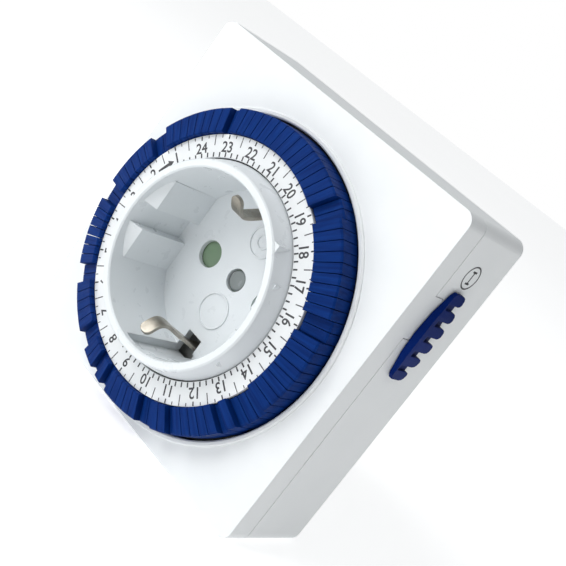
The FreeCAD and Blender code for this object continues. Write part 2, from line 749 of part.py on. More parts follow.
def tappet_carrier():
    """Turning ring with one window for the foot of every segment."""
    body = new_body("tappet_carrier")
    bore = size["journal_radius"] + 0.3
    front = -size["carrier_front"]
    wall = size["scale_radius"] - 0.15
    floor = size["carrier_floor"]
    under = size["carrier_back"]
    edge = size["carrier_edge"]
    hub = size["hub_radius"]
    shoulder = hub + 1
    gear = size["gear_front"]
    turn(body, [
        (bore, front), (wall, front), (wall, floor), (edge, floor), (edge, under),
        (shoulder, under), (shoulder, gear), (hub, gear), (hub, size["hub_back"]),
        (bore, size["hub_back"]),
    ])
    place = size["window_radius"]
    room = 0.15
    long_half = size["foot_length"] * 0.5 + room
    wide_half = size["foot_width"] * 0.5 + room
    hole = rectangle(place - long_half, -wide_half, place + long_half, wide_half)
    window = along_depth(body, floor - 1, under + 1, [hole], cut=True)
    pattern = body.newObject("PartDesign::PolarPattern", "windows")
    pattern.Originals = [window]
    pattern.Axis = (window.Profile[0], ["N_Axis"])
    pattern.Angle = 360
    bind(pattern, "Occurrences", size["tappet_count"])
    body.Tip = pattern
    document.recompute()
    half_step = 180 / size["tappet_count"].value
    first = size["tappet_phase"].value + half_step
    body.Placement = FreeCAD.Placement(FreeCAD.Vector(), FreeCAD.Vector(0, 1, 0), -first)
    return body


def dial_retainer():
    """Ring pressed on the cup behind the dial."""
    body = new_body("dial_retainer")
    journal = size["journal_radius"]
    front = size["hub_back"] + 0.3
    back = front + 0.8
    outer = size["hub_radius"]
    turn(body, [(journal, front), (outer, front), (outer, back), (journal, back)])
    return body


def toothed_disc(teeth, start, end, tooth_at, bore):
    """Return a gear along the depth, centred on the axis, with a tooth at a given angle."""
    module = size["gear_size"].value
    pitch_radius = module * teeth / 2
    tip = pitch_radius + 0.9 * module
    root = pitch_radius - 1.2 * module
    step = 2 * math.pi / teeth
    corners = []
    for tooth in range(teeth):
        middle = math.radians(tooth_at) + tooth * step
        for radius, share in ((root, -0.30), (tip, -0.11), (tip, 0.11), (root, 0.30)):
            angle = middle + share * step
            corners.append(FreeCAD.Vector(radius * math.cos(angle), start, radius * math.sin(angle)))
    outline = Part.makePolygon(corners + [corners[0]])
    disc = Part.Face(outline).extrude(FreeCAD.Vector(0, end - start, 0))
    return disc.cut(rod(bore, start - 1, end + 1))


def moved(shape, across, up):
    """Return a shape moved in the front plane."""
    copy = shape.copy()
    copy.translate(FreeCAD.Vector(across, 0, up))
    return copy


ring_pitch = size["gear_size"].value * size["ring_teeth"].value / 2
pinion_pitch = size["gear_size"].value * size["pinion_teeth"].value / 2
wheel_pitch = size["gear_size"].value * size["wheel_teeth"].value / 2
drive_angle = math.radians(size["drive_angle"].value)
drive_x = (ring_pitch + pinion_pitch) * math.cos(drive_angle)
drive_z = (ring_pitch + pinion_pitch) * math.sin(drive_angle)
motor_x = drive_x - wheel_pitch - pinion_pitch
motor_z = drive_z
pinion_half_step = 180 / size["pinion_teeth"].value


def gear_train():
    """Ring gear on the dial, drive gear, its axle, and the motor's pinion."""
    meet = size["drive_angle"].value
    teeth = size["pinion_teeth"].value
    front = size["gear_front"].value
    back = size["hub_back"].value
    wheel_front = size["wheel_front"].value
    wheel_back = size["wheel_back"].value
    axle = size["axle_radius"].value
    shaft = size["shaft_radius"].value
    bore = axle + 0.05
    hub = size["hub_radius"].value
    feature_part("dial_gear", toothed_disc(size["ring_teeth"].value, front, back, meet, hub))
    small = toothed_disc(teeth, front, back, meet + 180 + pinion_half_step, bore)
    large = toothed_disc(size["wheel_teeth"].value, wheel_front, wheel_back, 180, bore)
    sleeve = rod(2 * axle, back, wheel_front).cut(rod(bore, front, wheel_back))
    gear = small.fuse([sleeve, large]).removeSplitter()
    feature_part("drive_gear", moved(gear, drive_x, drive_z))
    pin = rod(axle, front - 0.3, size["plate_back"].value)
    feature_part("drive_axle", moved(pin, drive_x, drive_z))
    pinion = toothed_disc(teeth, wheel_front - 0.1, wheel_back + 0.1, pinion_half_step, shaft - 0.2)
    pinion = pinion.fuse(rod(shaft, wheel_front - 0.4, size["can_back"].value - 1))
    feature_part("motor_pinion", moved(pinion.removeSplitter(), motor_x, motor_z))


def tappet_shape(pushed):
    """Return one segment centred on the +X side: sloping top, wall and foot."""
    shift = size["tappet_travel"].value if pushed else 0.0
    inner = size["tappet_inner"].value
    outer = size["tappet_outer"].value
    top = shift - size["tappet_top"].value
    edge = shift - size["tappet_edge"].value
    under = shift + 0.2
    soft = 0.25
    corners = [
        (inner, under), (inner, top + soft), (inner + soft, top),
        (outer - 0.35, edge - 0.1), (outer, edge + soft), (outer, under),
    ]
    points = [FreeCAD.Vector(radius, depth, 0) for radius, depth in corners]
    section = Part.Face(Part.makePolygon(points + [points[0]]))
    step = 360 / size["tappet_count"].value
    width = step - size["tappet_gap"].value
    block = section.revolve(FreeCAD.Vector(0, 0, 0), FreeCAD.Vector(0, 1, 0), -width)
    block = turned_by(block, -width / 2)
    length = size["foot_length"].value
    wide = size["foot_width"].value
    corner = FreeCAD.Vector(size["window_radius"].value - length / 2, shift, -wide / 2)
    return block.fuse(Part.makeBox(length, size["foot_back"].value, wide, corner))


PUSHED_IN = (
    (3, 4), (14, 15), (31,), (40, 41), (48, 49), (57, 58), (64, 65), (68, 70), (76, 77), (80,),
    (86,), (88, 89, 90),
)


def tappets():
    """Groups of pushed-in segments, each followed by the group of pulled-out ones after it."""
    count = int(size["tappet_count"].value)
    step = 360 / count
    middle = size["tappet_phase"].value + step / 2
    pushed_shape = tappet_shape(True)
    pulled_shape = tappet_shape(False)
    starts = [group[0] for group in PUSHED_IN]
    ends = starts[1:] + [starts[0] + count]
    for index, (group, start, end) in enumerate(zip(PUSHED_IN, starts, ends), start=1):
        pushed = [turned_by(pushed_shape, middle + step * k) for k in group]
        between = [k for k in range(start, end) if k not in group]
        pulled = [turned_by(pulled_shape, middle + step * k) for k in between]
        feature_part(f"tappets_in_{index:02d}", Part.makeCompound(pushed))
        feature_part(f"tappets_out_{index:02d}", Part.makeCompound(pulled))


# ---------------------------------------------------------------- motor

def motor():
    """Steel can, coil and rotor on the back of the base plate."""
    plate = size["plate_back"].value
    can_radius = size["can_radius"].value
    can_back = size["can_back"].value
    wall = size["can_wall"].value
    front = size["coil_front"].value
    back = size["coil_back"].value
    shaft = size["shaft_radius"].value
    inside = rod(can_radius - wall, plate + wall, can_back - wall)
    can = rod(can_radius, plate, can_back).cut(inside).cut(rod(2 * shaft, plate - 1, plate + 1))
    feature_part("motor_can", moved(can, motor_x, motor_z))
    hole = rod(size["coil_hole"].value, front - 1, back + 1)
    coil = rod(size["coil_radius"].value, front, back).cut(hole)
    feature_part("motor_coil", moved(coil, motor_x, motor_z))
    magnet = rod(size["rotor_radius"].value, front, back).cut(rod(shaft, front - 1, back + 1))
    feature_part("rotor", moved(magnet, motor_x, motor_z))


def base_plate():
    """Insulating plate that carries the sleeves, rivet, axle, motor and switch lever."""
    body = new_body("base_plate")
    front = size["plate_front"]
    back = size["plate_back"]
    margin = size["case_wall"] + 0.4
    left = size["case_left"] + margin
    right = size["case_right"] - margin
    low = size["case_bottom"] + margin
    high = size["case_top"] - margin
    along_depth(body, front, back, [rectangle(left, low, right, high)])
    notch = 6
    corners = [
        rectangle(a, u, a + notch + 1, u + notch + 1)
        for a in (left - 1, right - notch) for u in (low - 1, high - notch)
    ]
    along_depth(body, front - 1, back + 1, corners, cut=True)
    pitch = size["pin_pitch"]
    sleeve = size["sleeve_radius"]
    strip = size["strip_half"] + 0.4
    near = size["groove_floor"]
    far = near + 1.3
    openings = [
        (pitch, 0, sleeve), (-pitch, 0, sleeve), (0, 0, 1.5),
        (motor_x, motor_z, size["shaft_radius"] * 2), (drive_x, drive_z, size["axle_radius"]),
        rectangle(-strip, near, strip, far), rectangle(-strip, -far, strip, -near),
        rectangle(30.4, 6.5, size["case_right"] + 0.5, 28.6),
    ]
    along_depth(body, front - 1, back + 1, openings, cut=True)
    along_depth(body, front - 1, back + 1, at_posts(size["screw_thread"]), cut=True)
    pivot_x = size["lever_x"]
    pivot_y = size["lever_y"]
    ear = rectangle(pivot_x - 2.4, pivot_y - 1.8, pivot_x + 1.6, back)
    tie = rectangle(pivot_x - 3.6, front, pivot_x + 1.6, back)
    thick = size["ear_thick"]
    for start in (size["ear_low"], size["ear_high"] - thick):
        up_height(body, start, start + thick, [ear])
        up_height(body, start, start + thick, [tie])
    hole = [(pivot_x, pivot_y, size["lever_pin"])]
    up_height(body, size["ear_low"] - 1, size["ear_high"] + 1, hole, cut=True)
    return body


# ---------------------------------------------------------------- switch

def switch_lever():
    """Bent lever: its foot feels the segments' feet, its tail works the switch blade."""
    body = new_body("switch_lever")
    pivot_x = size["lever_x"]
    pivot_y = size["lever_y"]
    foot = 20.6
    outline = [
        (foot, 5.9), (foot + 1.2, 5.9), (foot + 1.8, 7.4), (pivot_x - 2, pivot_y - 1.9),
        (pivot_x, pivot_y - 2), (pivot_x + 2, pivot_y), (pivot_x + 1, pivot_y + 7),
        (pivot_x - 0.6, pivot_y + 7), (pivot_x - 1.2, pivot_y + 1.6), (foot, 8.6),
    ]
    low = size["lever_low"]
    high = size["lever_high"]
    up_height(body, low, high, [outline])
    hole = [(pivot_x, pivot_y, size["lever_pin"] + 0.05)]
    up_height(body, low - 0.6, high + 0.6, hole, cut=True)
    return body


def lever_pin():
    """Pin through the base plate's two ears and the lever."""
    body = new_body("lever_pin")
    pin = [(size["lever_x"], size["lever_y"], size["lever_pin"])]
    up_height(body, size["ear_low"], size["ear_high"], pin)
    return body


def switch_blade():
    """Thin spring blade with its foot on the load strip, drawn closed."""
    body = new_body("switch_blade")
    face = size["contact_x"]
    thick = size["blade_thick"]
    low = 11.5
    foot_high = 14.6
    foot_front = size["sleeve_end"] + size["strip_thick"]
    up_height(body, low, 26.6, [rectangle(face - thick, 14.4, face, 17.2)])
    up_height(body, low, foot_high, [[
        (30, foot_front), (30, foot_front + thick), (face, foot_front + thick), (face, 16.5),
        (face - thick, 16.5), (face - thick, foot_front),
    ]])
    return body


def fixed_contact():
    """Silver contact riveted to the live strip."""
    body = new_body("fixed_contact")
    face = size["contact_x"]
    across_width(body, face, face + 0.8, [(15.8, 25.2, 1.2)])
    holder = rectangle(14.6, 24.0, size["live_front"], 26.8)
    across_width(body, face + 0.8, face + 1.2, [holder])
    return body


BAR_END = ((1.0, 0.0), (0.8, 0.7), (0.4, 1.05), (-0.4, 1.05), (-0.8, 0.7), (-1.0, 0.0))


def slider_outline():
    """Return the slider's outline: a bulging front edge and a back edge of rounded bar ends."""
    low = size["slider_low"]
    high = size["slider_high"]
    middle = (low + high) * 0.5
    front = size["slider_front"]
    bulge = size["slider_bulge"]
    quarter = (front + bulge) * 0.5 - 0.5
    edge = [
        (front + 0.8, low), (front, low + 0.8), (quarter, low + 5.5), (bulge, middle),
        (quarter, high - 5.5), (front, high - 0.8), (front + 0.8, high),
    ]
    half = size["bar_half"]
    back = size["slider_back"]
    for height in reversed(bar_heights()):
        for share, reach in BAR_END:
            edge.append((back + reach, height + half * share))
    return edge


def bar_heights():
    """Return the heights of the slider's cross bars, from low to high."""
    count = int(size["slider_bars"].value)
    first = size["slider_low"] + size["bar_half"]
    last = size["slider_high"] - size["bar_half"]
    return [first + (last - first) * (index / (count - 1)) for index in range(count)]


def override_slider():
    """Arched slider on the right side: a spine in front with cross bars behind it."""
    body = new_body("override_slider")
    side = size["case_right"] + size["slider_gap"]
    low = size["slider_low"]
    high = size["slider_high"]
    middle = (low + high) * 0.5
    edge = side + size["slider_edge"]
    rise = side + size["slider_rise"]
    shoulder = rise - 0.25
    shell = [
        (side, low), (edge, low), (shoulder, low + 5), (rise, middle), (shoulder, high - 5),
        (edge, high), (side, high),
    ]
    start = size["slider_bulge"] - 1
    end = size["slider_back"] + 3
    along_depth(body, start, end, [shell])
    frame = rectangle(start - 1, low - 2, end + 1, high + 2)
    across_width(body, side - 1, side + 6, [frame, slider_outline()], cut=True)
    half = size["bar_half"]
    heights = bar_heights()
    gaps = [
        rectangle(size["slider_spine"], below + half, end + 1, above - half)
        for below, above in zip(heights, heights[1:])
    ]
    across_width(body, side + size["slider_base"], side + 6, gaps, cut=True)
    depth = size["slot_depth"]
    inside = size["case_right"] - size["case_wall"] - 0.2
    stem_low = size["stem_low"]
    stem_high = size["stem_high"]
    stem = rectangle(depth - 0.9, stem_low, depth + 0.9, stem_high)
    across_width(body, inside, side + 0.5, [stem])
    block = rectangle(depth - 1.9, stem_low - 0.6, depth + 1.9, stem_high + 0.6)
    across_width(body, inside - 1.6, inside, [block])
    return body


def detent_spring():
    """Leaf spring that holds the slider at either end of its travel."""
    body = new_body("detent_spring")
    face = size["case_right"] - 4
    strip = rectangle(face - 0.3, 8.2, face, 23.0)
    depth = size["slot_depth"]
    along_depth(body, depth - 1.4, depth + 1, [strip])
    return body


# ---------------------------------------------------------------- fasteners

def screw(head_radius, start, end, head):
    """Return a screw along the depth, with its crossed head at the back."""
    shank = rod(size["screw_radius"].value, start, end)
    cap = rod(head_radius, end, end + head)
    long = 2.4
    wide = 0.5
    deep = 0.7
    for quarter in (0, 90):
        corner = FreeCAD.Vector(-long / 2, end + head - deep, -wide / 2)
        cap = cap.cut(turned_by(Part.makeBox(long, 1, wide, corner), quarter))
    return shank.fuse(cap)


def screws():
    """Four case screws and four base plate screws."""
    seat = size["back_depth"].value - size["sink_depth"].value
    case_screw = screw(size["case_head"].value, 4.0, seat, 1.6)
    places = [(value_of(a), value_of(u)) for a, u in BOSS_PLACES]
    feature_part("case_screws", Part.makeCompound([moved(case_screw, a, u) for a, u in places]))
    front = size["plate_front"].value
    plate_screw = screw(size["plate_head"].value, 0.2 - size["post_hole_end"].value, -front, 1.2)
    plate_screw.rotate(FreeCAD.Vector(0, 0, 0), FreeCAD.Vector(0, 0, 1), 180)
    shapes = [moved(plate_screw, a, u) for a, u in PLATE_POSTS]
    feature_part("plate_screws", Part.makeCompound(shapes))


front_cover()
rear_housing()
socket_cup()
contact_sleeve("contact_sleeve_left", -1)
contact_sleeve("contact_sleeve_right", 1)
earth_contact("earth_contact_upper", 1)
earth_contact("earth_contact_lower", -1)
earth_bridge()
shutter()
shutter_rivet()
coil_spring("shutter_spring", 2.4, 0.25, 10.1, 3, 0.62)
plug_body()
plug_pin("plug_pin_left", -1)
plug_pin("plug_pin_right", 1)
neutral_busbar()
live_busbar()
load_busbar()
scale_disc()
tappet_carrier()
dial_retainer()
gear_train()
tappets()
motor()
base_plate()
switch_lever()
lever_pin()
switch_blade()
fixed_contact()
override_slider()
detent_spring()
screws()


# ---------------------------------------------------------------- check and write

document.recompute()
for item in document.Objects:
    if "Invalid" in item.State or "Error" in item.State:
        raise RuntimeError(f"{item.Name} did not build: {item.State}")
for item in parts:
    if item.Shape.isNull() or not item.Shape.isValid():
        raise RuntimeError(f"{item.Label} has no valid shape")

os.makedirs("parts", exist_ok=True)
for item in parts:
    item.Shape.exportStep(f"parts/{item.Label}.step")
print(len(parts), "sub-parts written")
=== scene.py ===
import json
import math

import bmesh
import bpy
import numpy as np
from mathutils import Matrix, Vector


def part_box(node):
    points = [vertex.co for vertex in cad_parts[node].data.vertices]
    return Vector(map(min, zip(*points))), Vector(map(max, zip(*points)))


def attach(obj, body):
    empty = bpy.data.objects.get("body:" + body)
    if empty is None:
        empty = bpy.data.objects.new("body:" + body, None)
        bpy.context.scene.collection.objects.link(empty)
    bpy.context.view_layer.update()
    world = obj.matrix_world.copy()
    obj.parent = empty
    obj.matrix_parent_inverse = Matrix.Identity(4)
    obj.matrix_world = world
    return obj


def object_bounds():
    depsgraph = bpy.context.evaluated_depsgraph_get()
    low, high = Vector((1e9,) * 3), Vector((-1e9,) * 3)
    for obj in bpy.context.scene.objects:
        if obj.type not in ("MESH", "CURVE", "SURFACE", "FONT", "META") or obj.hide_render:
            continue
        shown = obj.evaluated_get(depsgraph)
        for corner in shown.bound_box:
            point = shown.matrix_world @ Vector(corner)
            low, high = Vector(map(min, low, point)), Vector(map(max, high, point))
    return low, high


# The looks of a plug-in 24-hour timer: white case, raised socket cup, printed scale, blue segments.
# Metres; X to the right, Y into the wall, Z up. The socket's axis is the Y axis.

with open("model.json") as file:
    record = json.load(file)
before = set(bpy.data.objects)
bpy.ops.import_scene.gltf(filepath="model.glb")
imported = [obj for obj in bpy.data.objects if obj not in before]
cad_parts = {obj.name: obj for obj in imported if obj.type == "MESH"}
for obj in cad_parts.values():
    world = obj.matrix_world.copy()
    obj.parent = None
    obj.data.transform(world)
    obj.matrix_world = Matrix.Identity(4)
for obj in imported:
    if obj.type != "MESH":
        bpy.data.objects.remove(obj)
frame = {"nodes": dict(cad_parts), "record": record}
cad_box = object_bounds()
MM = 0.001

NODES = frame["nodes"]
SEGMENT_NODES = sorted(name for name in NODES if name.startswith("tappets_"))


# ---------------------------------------------------------------- materials

class Shader:
    """A node material under construction, with short ways to add and join its nodes."""

    def __init__(self, name):
        self.material = bpy.data.materials.new(name)
        self.material.use_nodes = True
        self.tree = self.material.node_tree
        self.surface = self.tree.nodes["Principled BSDF"]
        self.place = self.add("ShaderNodeTexCoord").outputs["Object"]

    def add(self, kind, **settings):
        """Add a node and set its properties."""
        node = self.tree.nodes.new(kind)
        for key, setting in settings.items():
            setattr(node, key, setting)
        return node

    def join(self, source, target):
        """Link an output to an input."""
        self.tree.links.new(source, target)

    def fix(self, **values):
        """Set the surface's own sockets by name, with _ for a space."""
        for key, number in values.items():
            self.surface.inputs[key.replace("_", " ")].default_value = number

    def sums(self, kind, first, second):
        """Return a sum, product or angle of two values, each a number or an output."""
        node = self.add("ShaderNodeMath", operation=kind)
        for target, source in zip(node.inputs, (first, second)):
            if isinstance(source, (int, float)):
                target.default_value = source
            else:
                self.join(source, target)
        return node.outputs["Value"]

    def polar(self, radius_mm):
        """Return coordinates that run round the socket's axis, out from it, and along it."""
        parts = self.add("ShaderNodeSeparateXYZ")
        self.join(self.place, parts.inputs["Vector"])
        across, depth, up = parts.outputs
        angle = self.sums("ARCTAN2", up, across)
        squares = self.sums("ADD", self.sums("POWER", up, 2.0), self.sums("POWER", across, 2.0))
        radius = self.sums("SQRT", squares, 0.0)
        whole = self.add("ShaderNodeCombineXYZ")
        arc = self.sums("MULTIPLY", angle, radius_mm * MM)
        for target, source in zip(whole.inputs, (arc, radius, depth)):
            self.join(source, target)
        return whole.outputs["Vector"]

    def noise(self, per_mm, detail=2.0, stretch=None, where=None):
        """Return a noise output whose grain is counted in cells per millimetre."""
        grain = self.add("ShaderNodeTexNoise")
        grain.inputs["Scale"].default_value = per_mm / MM
        grain.inputs["Detail"].default_value = detail
        where = where or self.place
        if stretch:
            mapping = self.add("ShaderNodeMapping")
            mapping.inputs["Scale"].default_value = stretch
            self.join(where, mapping.inputs["Vector"])
            where = mapping.outputs["Vector"]
        self.join(where, grain.inputs["Vector"])
        return grain.outputs["Fac"]

    def spread(self, source, low, high):
        """Return a value that runs from low to high as the source runs over its middle range."""
        span = self.add("ShaderNodeMapRange")
        span.inputs["From Min"].default_value = 0.3
        span.inputs["From Max"].default_value = 0.7
        span.inputs["To Min"].default_value = low
        span.inputs["To Max"].default_value = high
        self.join(source, span.inputs["Value"])
        return span.outputs["Result"]

    def tint(self, source, dark, light):
        """Return a colour between two, led by a noise."""
        ramp = self.add("ShaderNodeValToRGB")
        ramp.color_ramp.elements[0].position = 0.3
        ramp.color_ramp.elements[0].color = (*dark, 1)
        ramp.color_ramp.elements[1].position = 0.7
        ramp.color_ramp.elements[1].color = (*light, 1)
        self.join(source, ramp.inputs["Fac"])
        return ramp.outputs["Color"]

    def relief(self, source, height_mm, edge_mm=0.0):
        """Turn a noise into a bump of a real height, over softened edges if asked."""
        bump = self.add("ShaderNodeBump")
        bump.inputs["Distance"].default_value = height_mm * MM
        self.join(source, bump.inputs["Height"])
        if edge_mm:
            bevel = self.add("ShaderNodeBevel", samples=6)
            bevel.inputs["Radius"].default_value = edge_mm * MM
            self.join(bevel.outputs["Normal"], bump.inputs["Normal"])
        self.join(bump.outputs["Normal"], self.surface.inputs["Normal"])


def moulding(name, dark, light, gloss, edge_mm=0.15, grain_mm=0.006, shine=0.5):
    """Injection-moulded plastic: faint cloudiness, a fine spark-eroded grain and soft edges."""
    shader = Shader(name)
    colour = shader.tint(shader.noise(0.09, 3.0), dark, light)
    shader.join(colour, shader.surface.inputs["Base Color"])
    shader.join(
        shader.spread(shader.noise(0.35, 3.0), gloss - 0.04, gloss + 0.05),
        shader.surface.inputs["Roughness"],
    )
    shader.relief(shader.noise(5.0, 2.0), grain_mm, edge_mm)
    shader.fix(IOR=1.49, Specular_IOR_Level=shine)
    return shader.material


def segment_blue():
    """Blue moulding of the segments, with fine lines that run out from the socket's axis."""
    shader = Shader("segment_blue")
    round_axis = shader.polar(30)
    lines = shader.noise(1.6, 2.0, (1, 0.04, 0.2), round_axis)
    shader.join(
        shader.tint(lines, (0.0005, 0.016, 0.11), (0.002, 0.030, 0.175)),
        shader.surface.inputs["Base Color"],
    )
    shader.join(
        shader.spread(shader.noise(0.35, 3.0), 0.5, 0.62), shader.surface.inputs["Roughness"]
    )
    shader.relief(lines, 0.06, 0.12)
    shader.fix(IOR=1.45, Specular_IOR_Level=0.08)
    return shader.material


def metal(name, dark, light, gloss, stretch):
    """Rolled or plated metal: drawn lines along one direction and patches of duller plating."""
    shader = Shader(name)
    colour = shader.tint(shader.noise(0.5, 4.0), dark, light)
    shader.join(colour, shader.surface.inputs["Base Color"])
    shader.join(
        shader.spread(shader.noise(0.8, 4.0), gloss - 0.06, gloss + 0.1),
        shader.surface.inputs["Roughness"],
    )
    shader.relief(shader.noise(2.5, 3.0, stretch), 0.006, 0.08)
    shader.fix(Metallic=1.0)
    return shader.material


WHITE_CASE = moulding("white_case", (0.76, 0.785, 0.795), (0.79, 0.81, 0.82), 0.38)
# The cup's white is a darker copy of the case's white: painted shade for the socket recess.
CUP_WHITE_PAINTED_SHADE = moulding("white_cup_painted_shade", (0.72, 0.755, 0.775), (0.74, 0.775, 0.795), 0.3)
WHITE_SCALE = moulding("white_scale", (0.73, 0.75, 0.76), (0.76, 0.78, 0.79), 0.5)
SEGMENT_BLUE = segment_blue()
SLIDER_BLUE = moulding(
    "slider_blue", (0.0005, 0.010, 0.095), (0.0015, 0.018, 0.15), 0.45,
    edge_mm=0.25, grain_mm=0.02, shine=0.04,
)
BLACK_MOULDING = moulding("black_moulding", (0.012, 0.012, 0.016), (0.02, 0.02, 0.026), 0.5)
ACETAL = moulding("natural_acetal", (0.74, 0.72, 0.66), (0.8, 0.78, 0.72), 0.4)
SHUTTER_GREY = moulding("shutter_grey", (0.20, 0.25, 0.19), (0.20, 0.31, 0.19), 0.22)
RIVET_GREY = moulding("rivet_grey", (0.16, 0.18, 0.18), (0.24, 0.27, 0.27), 0.25)
BASE_GREY = moulding("base_grey", (0.42, 0.43, 0.42), (0.5, 0.51, 0.5), 0.5)
INK = moulding(
    "scale_ink", (0.035, 0.035, 0.04), (0.06, 0.06, 0.065), 0.6, edge_mm=0.0, grain_mm=0.002
)
NICKEL = metal("nickel_plate", (0.29, 0.265, 0.225), (0.43, 0.40, 0.345), 0.33, (1, 0.1, 1))
STEEL = metal("bright_steel", (0.5, 0.5, 0.52), (0.62, 0.62, 0.64), 0.3, (0.1, 1, 1))
BRASS = metal("rolled_brass", (0.62, 0.44, 0.18), (0.75, 0.56, 0.26), 0.3, (1, 0.1, 1))
COPPER = metal("copper_winding", (0.5, 0.22, 0.1), (0.66, 0.32, 0.15), 0.35, (1, 8, 1))

FINISHES = {
    "front_cover": WHITE_CASE, "rear_housing": WHITE_CASE, "plug_body": WHITE_CASE,
    "socket_cup": CUP_WHITE_PAINTED_SHADE,
    "scale_disc": WHITE_SCALE, "override_slider": SLIDER_BLUE, "tappet_carrier": BLACK_MOULDING,
    "switch_lever": BLACK_MOULDING, "dial_gear": ACETAL, "drive_gear": ACETAL,
    "shutter": SHUTTER_GREY, "shutter_rivet": RIVET_GREY, "base_plate": BASE_GREY,
    "motor_coil": COPPER,
}
FINISHES.update({name: SEGMENT_BLUE for name in SEGMENT_NODES})
SLOT_FINISHES = {"nickel": NICKEL, "steel": STEEL, "brass": BRASS}


def finish_nodes():
    """Give every CAD node its own finish."""
    slots = {item["node"]: item["material_slot"] for item in frame["record"]["subparts"]}
    for name, node in NODES.items():
        finish = FINISHES.get(name) or SLOT_FINISHES[slots[name]]
        for place in node.material_slots:
            place.material = finish


finish_nodes()


# ---------------------------------------------------------------- making meshes

def piece(name, points, faces, finish, body):
    """Make a mesh piece from arrays of points and faces, with a finish, on a CAD body."""
    mesh = bpy.data.meshes.new(name)
    mesh.from_pydata(points.tolist(), [], faces.tolist() if hasattr(faces, "tolist") else faces)
    closed = bmesh.new()
    closed.from_mesh(mesh)
    bmesh.ops.recalc_face_normals(closed, faces=closed.faces[:])
    closed.to_mesh(mesh)
    closed.free()
    mesh.materials.append(finish)
    made = bpy.data.objects.new(name, mesh)
    bpy.context.scene.collection.objects.link(made)
    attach(made, body)
    return made


BOX_FACES = np.array([
    (0, 1, 2, 3), (7, 6, 5, 4), (0, 4, 5, 1), (1, 5, 6, 2), (2, 6, 7, 3), (3, 7, 4, 0),
])


def plates(corners, front, back):
    """Thin plates from (plate, corner, across/up) outlines of four corners each.

    Each outline is repeated at two depths, and the two are joined by four side walls."""
    count = len(corners)
    points = np.zeros((count, 8, 3))
    points[:, :4, 0] = corners[..., 0]
    points[:, :4, 2] = corners[..., 1]
    points[:, 4:, 0] = corners[..., 0]
    points[:, 4:, 2] = corners[..., 1]
    points[:, :4, 1] = front
    points[:, 4:, 1] = back
    faces = BOX_FACES[None] + 8 * np.arange(count)[:, None, None]
    return points.reshape(-1, 3), faces.reshape(-1, 4)


def joined(parts):
    """Join several (points, faces) pairs into one."""
    points = []
    faces = []
    shift = 0
    for some_points, some_faces in parts:
        points.append(some_points)
        faces += [tuple(int(v) + shift for v in face) for face in some_faces]
        shift += len(some_points)
    return np.concatenate(points), faces


# ---------------------------------------------------------------- printed scale

SCALE_LOW, SCALE_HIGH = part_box("scale_disc")
SCALE_RADIUS = SCALE_HIGH.x
SCALE_FRONT = SCALE_LOW.y
INK_THICK = 0.02 * MM
SCALE_INNER = 22.75 * MM
SCALE_EDGE = SCALE_RADIUS - 0.1 * MM
HOUR_ZERO = math.radians(133.2)
HOUR_STEP = math.radians(15)
QUARTER_STEP = HOUR_STEP / 4


def radial_ticks(angles, inner, outer, width):
    """Ticks along the radius: a rectangle from inner to outer, turned to each angle."""
    along = np.stack([np.cos(angles), np.sin(angles)], -1)
    aside = np.stack([-np.sin(angles), np.cos(angles)], -1) * width / 2
    corners = np.stack([
        along * inner - aside, along * inner + aside, along * outer + aside, along * outer - aside,
    ], 1)
    return plates(corners, SCALE_FRONT - INK_THICK, SCALE_FRONT + INK_THICK)


def scale_ticks():
    """Quarter-hour ticks inside and outside the numbers, and long half-hour ticks."""
    quarters = HOUR_ZERO + QUARTER_STEP * np.arange(96)
    halves = quarters[2::4]
    hours = quarters[::4]
    points, faces = joined([
        radial_ticks(quarters, SCALE_INNER + 0.1 * MM, SCALE_INNER + 1.1 * MM, 0.33 * MM),
        radial_ticks(halves, 25.3 * MM, 26.8 * MM, 0.22 * MM),
        radial_ticks(quarters, 26.85 * MM, SCALE_EDGE, 0.2 * MM),
        radial_ticks(hours, 26.6 * MM, SCALE_EDGE, 0.3 * MM),
    ])
    return piece("scale_ticks", points, faces, INK, "dial")


ARROW_RADIUS = 24.55 * MM
ARROW_TAIL = math.radians(160.2)
ARROW_NECK = math.radians(153.4)
ARROW_TIP = math.radians(150.2)
ARROW_HALF_LINE = 0.32 * MM
ARROW_HALF_HEAD = 0.85 * MM


def on_circle(radius, angles):
    """Points across and up at a radius: its cosine share across, its sine share up."""
    return radius * np.stack([np.cos(angles), np.sin(angles)], -1)


def turning_arrow():
    """Arrow printed between the hours 1 and 2.

    Its bar follows the arc between two radii, and its head is two plates that narrow to the tip."""
    angles = np.linspace(ARROW_TAIL, ARROW_NECK, 9)
    inner = on_circle(ARROW_RADIUS - ARROW_HALF_LINE, angles)
    outer = on_circle(ARROW_RADIUS + ARROW_HALF_LINE, angles)
    bar = np.stack([inner[:-1], inner[1:], outer[1:], outer[:-1]], 1)
    tip = on_circle(ARROW_RADIUS, ARROW_TIP)
    low = on_circle(ARROW_RADIUS - ARROW_HALF_HEAD, ARROW_NECK)
    high = on_circle(ARROW_RADIUS + ARROW_HALF_HEAD, ARROW_NECK)
    middle = (low + high) / 2
    blunt = tip * 1.0001
    head = np.array([[low, tip, blunt, middle], [middle, blunt, tip * 1.0002, high]])
    corners = np.concatenate([bar, head])
    points, faces = plates(corners, SCALE_FRONT - INK_THICK, SCALE_FRONT + INK_THICK)
    return piece("scale_arrow", points, faces, INK, "dial")


NUMBER_RADIUS = 25.0 * MM
NUMBER_HEIGHT = 2.3 * MM
NUMBER_NARROWING = 0.92
STROKE_SWELL = 0.018


